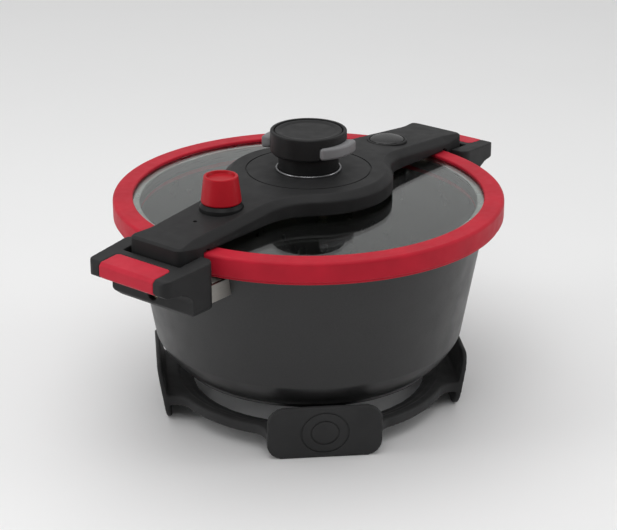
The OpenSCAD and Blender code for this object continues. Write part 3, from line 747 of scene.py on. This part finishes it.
def make_safety_valve():
    bezel = rounded([
        (5.5, SEAT_FLAT_Z), (COLLAR_R, SEAT_FLAT_Z, 0.2), (COLLAR_R, 14, 0.8), (12, 14, 0.3),
        (12, 12.6, 0.2), (5.5, 12.6)])
    ring = make_object("safety_collar", revolve(bezel, (VALVE_X, 0), LID_Z, 96))
    place(ring, "lid", "knob_plastic", MATERIALS["knob"], ["safety_bezel"])
    dome = [(0, 13), (11.2, 13), (11.6, 13.4)]
    dome += [(11.6 * cos(radians(a)), 13.6 + 2.4 * sin(radians(a))) for a in range(6, 90, 6)] + [(0, 16)]
    button = make_object("safety_cap", revolve(dome, (VALVE_X, 0), LID_Z, 96))
    place(button, "safety_valve", "knob_plastic", MATERIALS["button"], ["safety_button"])


# -------------------------------------------------------------------- knob

WING_START = 235
WING_SWEEP = 70
WING_LOW = 28.3
WING_HIGH = 36.5
WING_FIRST_R = 26.2
WING_LAST_R = 31
CAP_R = 22
NECK_R = 19.6


def sector(bm, r0, r1, z0, z1, start, sweep, steps=24):
    """Solid part of a ring, used as a cutter."""
    rows = []
    for i in range(steps + 1):
        a = radians(start + sweep * i / steps)
        corners = ((r0, z0), (r1, z0), (r1, z1), (r0, z1))
        rows.append([bm.verts.new((r * cos(a), r * sin(a), z)) for r, z in corners])
    for one, two in zip(rows, rows[1:]):
        bridge(bm, one, two)
    bm.faces.new(rows[0])
    bm.faces.new(rows[-1][::-1])


def make_knob():
    """Neck, undercut and straight grip with a rounded top edge; a dished disc is set into its top."""
    skirt = 27
    path = rounded([
        (5, NECK_Z), (8, NECK_Z), (8, 24), (NECK_R - 2.6, 24), (NECK_R - 2.6, NECK_Z), (NECK_R, NECK_Z, 0.4),
        (NECK_R, skirt - 1.0, 0.8), (KNOB_R - 1.4, skirt, 0.5), (KNOB_R, skirt + 1.5, 0.9),
        (KNOB_R, KNOB_TOP_Z, 2.2), (CAP_R + 0.6, KNOB_TOP_Z, 0.7), (CAP_R + 0.3, KNOB_TOP_Z - 1.2, 0.2),
        (CAP_R + 0.3, WING_LOW - 0.1), (2.1, WING_LOW - 0.1), (2.1, 26), (5, 26)], 5)
    body = make_object("knob_grip", revolve(path, z=LID_Z, segments=160))
    windows = bmesh.new()
    for start in (WING_START, WING_START - 180):
        sector(windows, KNOB_R - 3, KNOB_R + 3, LID_Z + WING_LOW, LID_Z + WING_HIGH, start, WING_SWEEP)
    cut(body, windows)
    place(body, "knob", "knob_plastic", MATERIALS["knob"], ["knob_body"])
    path = rounded([
        (0, KNOB_TOP_Z - 3), (CAP_R - 3, KNOB_TOP_Z - 3), (CAP_R - 3, WING_HIGH + 0.1),
        (CAP_R, WING_HIGH + 0.1), (CAP_R, KNOB_TOP_Z - 0.5, 0.9),
        (CAP_R - 2, KNOB_TOP_Z - 0.5, 1.2), (CAP_R - 4.5, KNOB_TOP_Z - 1.2, 2),
        (0, KNOB_TOP_Z - 1.2)], 5)
    cap = make_object("knob_lid", revolve(path, z=LID_Z, segments=160))
    place(cap, "knob", "knob_plastic", MATERIALS["knob"], ["knob_cap"])


def wing_section(r0, r1, z0, z1, round_r):
    """Rounded rectangle in the (radius, height) plane."""
    return rounded([(r0, z0, 0.2), (r1, z0, round_r), (r1, z1, round_r), (r0, z1, 0.2)], 4)


def make_wings():
    """Ring inside the knob with two wings that grow outward as they run round it."""
    middle_z = (WING_LOW + WING_HIGH) / 2
    half_h = (WING_HIGH - WING_LOW) / 2 - 0.05
    bm = revolve([(12, WING_LOW + 0.05), (CAP_R, WING_LOW + 0.05), (CAP_R, WING_HIGH - 0.05),
                  (12, WING_HIGH - 0.05)], z=LID_Z, segments=96)
    steps = 40
    nose = 5
    for start in (WING_START, WING_START - 180):
        rows = []
        for i in range(steps + 1):
            share = i / steps
            a = radians(start + WING_SWEEP * share)
            outer = WING_FIRST_R + (WING_LAST_R - WING_FIRST_R) * share
            tip = min(1.0, min(share, 1 - share) * WING_SWEEP / nose)
            shrink = sqrt(1 - (1 - tip) ** 2)
            r1 = 22.4 + (outer - 22.4) * max(shrink, 0.35)
            tall = half_h * max(shrink, 0.45)
            ring = wing_section(CAP_R + 0.02, r1, -tall, tall, 1.9)
            rows.append([bm.verts.new((r * cos(a), r * sin(a), LID_Z + middle_z + z)) for r, z in ring])
        for one, two in zip(rows, rows[1:]):
            bridge(bm, one, two)
        bm.faces.new(rows[0])
        bm.faces.new(rows[-1][::-1])
    wings = make_object("knob_vanes", bm)
    place(wings, "knob", "wing_plastic", MATERIALS["wing"], ["knob_wings"])


# -------------------------------------------------- CAD nodes kept as they are

KEPT = {
    "left_handle_bracket": ("bracket", 0.35), "right_handle_bracket": ("bracket", 0.35),
    "handle_screws": ("fastener", 0.25), "bar_base": ("grip", 0.25), "bar_screws": ("fastener", 0.15),
    "hub_gaskets": ("gasket", 0.3), "clamp_bolt": ("machined", 0.3), "clamp_washer": ("machined", 0.25),
    "clamp_nut": ("machined", 0.4), "valve_seat": ("machined", 0.3), "safety_seat": ("machined", 0.3),
    "valve_grommets": ("gasket", 0.2), "knob_spindle": ("machined", 0.3), "knob_screw": ("fastener", 0.3),
    "cam_disc": ("machined", 0.2), "left_latch": ("latch", 0.25), "right_latch": ("latch", 0.25),
    "left_latch_pin": ("machined", 0.2), "right_latch_pin": ("machined", 0.2),
    "valve_weight": ("machined", 0.3), "safety_plunger": ("machined", 0.3), "safety_o_ring": ("rubber", 0.0),
}


def finish_kept_nodes():
    """Small hardware keeps its CAD shape, with broken edges and a worked surface."""
    for name, (finish, edge) in KEPT.items():
        node = NODES[name]
        node.data.materials.clear()
        node.data.materials.append(MATERIALS[finish])
        weld = node.modifiers.new("Weld", "WELD")
        weld.merge_threshold = 1e-6
        if edge:
            bevel = node.modifiers.new("Bevel", "BEVEL")
            bevel.width = edge * MM
            bevel.segments = 2
            bevel.limit_method = "ANGLE"
            bevel.angle_limit = radians(40)
            bevel.harden_normals = False


# ------------------------------------------------------- floor, light, camera

VIEW_AZIMUTH = -51
VIEW_ELEVATION = 22
LENS_MM = 104
CAMERA_DISTANCE_M = 1.18
CAMERA_TARGET_M = (0, 0, 0.092)


def make_floor():
    bm = bmesh.new()
    bmesh.ops.create_grid(bm, x_segments=2, y_segments=2, size=6000)
    floor = make_object("studio_floor", bm)
    g = Graph("floor_paper", (0.86, 0.86, 0.86), 0.6)
    g.tint(g.noise(400), 0.99, 1.01)
    floor.data.materials.append(g.material)


def area_light(name, place_m, target, size, power):
    light = bpy.data.lights.new(name, "AREA")
    light.shape = "RECTANGLE"
    light.size, light.size_y = size
    light.energy = power
    thing = bpy.data.objects.new(name, light)
    bpy.context.scene.collection.objects.link(thing)
    thing.location = place_m
    thing.rotation_mode = "QUATERNION"
    thing.rotation_quaternion = (Vector(target) - Vector(place_m)).to_track_quat("-Z", "Y")


def make_world():
    """White studio: brighter overhead than at the horizon, and dimmest behind the camera."""
    world = bpy.data.worlds.new("studio")
    world.use_nodes = True
    nodes, links = world.node_tree.nodes, world.node_tree.links
    direction = nodes.new("ShaderNodeTexCoord").outputs["Generated"]
    angle = radians(VIEW_AZIMUTH)

    def ramp(toward, first, last):
        """A value from first to last as the direction turns towards the given one."""
        dot = nodes.new("ShaderNodeVectorMath")
        dot.operation = "DOT_PRODUCT"
        links.new(direction, dot.inputs[0])
        dot.inputs[1].default_value = toward
        level = nodes.new("ShaderNodeMapRange")
        links.new(dot.outputs["Value"], level.inputs["Value"])
        level.inputs["From Min"].default_value = 0.0
        level.inputs["From Max"].default_value = 0.9
        level.inputs["To Min"].default_value = first
        level.inputs["To Max"].default_value = last
        return level.outputs[0]

    both = nodes.new("ShaderNodeMath")
    both.operation = "MULTIPLY"
    links.new(ramp((0, 0, 1), 0.42, 0.75), both.inputs[0])
    links.new(ramp((sin(angle), -cos(angle), 0), 1.0, 0.35), both.inputs[1])
    links.new(both.outputs[0], nodes["Background"].inputs["Strength"])
    nodes["Background"].inputs["Color"].default_value = (1, 1, 1, 1)
    bpy.context.scene.world = world


def make_lights():
    middle = (0, 0, 0.1)
    area_light("key_above", (-0.1, 0.3, 1.5), middle, (1.6, 1.6), 7)
    area_light("front_above", (-0.65, -0.5, 1.35), middle, (0.9, 0.9), 5.5)
    area_light("left_panel", (-1.3, 0.9, 0.6), middle, (0.5, 1.2), 5)
    area_light("right_panel", (1.1, -1.3, 0.7), middle, (0.5, 1.2), 4)
    bpy.context.scene.view_settings.view_transform = "Standard"


def make_camera():
    data = bpy.data.cameras.new("camera")
    data.sensor_width = 36
    data.lens = LENS_MM
    camera = bpy.data.objects.new("camera", data)
    bpy.context.scene.collection.objects.link(camera)
    a, e = radians(VIEW_AZIMUTH), radians(VIEW_ELEVATION)
    back = Vector((sin(a) * cos(e), -cos(a) * cos(e), sin(e)))
    camera.location = Vector(CAMERA_TARGET_M) + back * CAMERA_DISTANCE_M
    camera.rotation_mode = "QUATERNION"
    camera.rotation_quaternion = (-back).to_track_quat("-Z", "Y")
    bpy.context.scene.camera = camera


make_camera()
make_world()
make_lights()
make_floor()
make_trivet()
make_pot()
make_base_disc()
make_handles()
make_rivets()
make_glass()
make_seal()
make_seal_band()
make_bar()
make_trim_ring()
make_valve_collar()
make_valve_cap()
make_safety_valve()
make_knob()
make_wings()
finish_kept_nodes()
